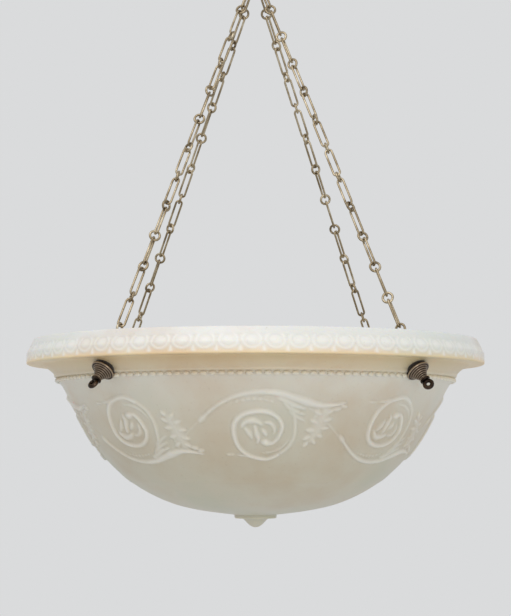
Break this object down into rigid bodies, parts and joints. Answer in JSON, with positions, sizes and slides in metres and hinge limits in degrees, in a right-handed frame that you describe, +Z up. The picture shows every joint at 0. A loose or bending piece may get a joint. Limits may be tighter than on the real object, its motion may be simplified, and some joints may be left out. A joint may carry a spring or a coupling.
{
  "type": "pendant bowl light",
  "caption": "Opal glass dish light: a shallow moulded bowl hung level on straight link chains from a ceiling hook under a rose, with dark turned studs round its neck.",
  "frame": {"origin": "on the ceiling, at the middle between the two screw holes of the ceiling bar", "axes": "+Z up into the ceiling, X along the ceiling bar and along the gathering ring, the pictured side faces -Y"},
  "size_m": [0.4572, 0.457, 0.6638],
  "materials": {
    "opal_glass": "matt cream-white opal glass, pressed",
    "aged_brass": "aged brass, brown patina",
    "dark_bronze": "dark bronzed brass, worn on the edges",
    "felt": "dark wool felt",
    "brass": "plain turned brass",
    "plated_steel": "zinc plated steel",
    "black_moulding": "dark moulded plastic",
    "bulb_glass": "frosted lamp glass"
  },
  "bodies": {
    "ceiling_fitting": {"ceiling_bar": "plated_steel", "stem_top_nut": "brass", "stem_lock_nut": "brass", "ceiling_hook": "aged_brass"},
    "ring": {"gathering_ring": "aged_brass"},
    "pendant": {"glass_bowl": "opal_glass", "chain_front_left_links": "aged_brass", "chain_front_left_rings": "aged_brass", "chain_front_right_links": "aged_brass", "chain_front_right_rings": "aged_brass", "chain_back_left_links": "aged_brass", "chain_back_left_rings": "aged_brass", "chain_back_right_links": "aged_brass", "chain_back_right_rings": "aged_brass", "stud_eye_bolts": "dark_bronze", "stud_bosses": "dark_bronze", "outer_felts": "felt", "inner_felts": "felt", "hook_nuts": "brass", "arm_screws": "brass", "hub_cover_screws": "brass", "lamp_caps": "brass", "lamp_arms": "plated_steel", "lamp_hub": "plated_steel", "hub_cover": "plated_steel", "lampholders": "black_moulding", "hub_cord_bush": "black_moulding", "lamp_bulbs": "bulb_glass"},
    "rose": {"ceiling_rose": "aged_brass", "rose_collar": "aged_brass", "rose_cord_bush": "black_moulding"},
    "thumb_screw": {"collar_screw": "aged_brass"}
  },
  "joints": [
    {"name": "ring_swing", "type": "hinge", "parent": "ceiling_fitting", "child": "ring", "pos_m": [0, 0, -0.09921], "axis": [0, 1, 0], "range_deg": [-35, 35]},
    {"name": "pendant_swing", "type": "hinge", "parent": "ring", "child": "pendant", "pos_m": [0, 0, -0.11501], "axis": [1, 0, 0], "range_deg": [-35, 35]},
    {"name": "rose_slide", "type": "slide", "parent": "ceiling_fitting", "child": "rose", "axis": [0, 0, -1], "range_m": [0, 0.02]},
    {"name": "thumb_screw_turn", "type": "hinge", "parent": "rose", "child": "thumb_screw", "pos_m": [0, 0.0142, -0.0458], "axis": [0, 1, 0], "continuous": true}
  ]
}
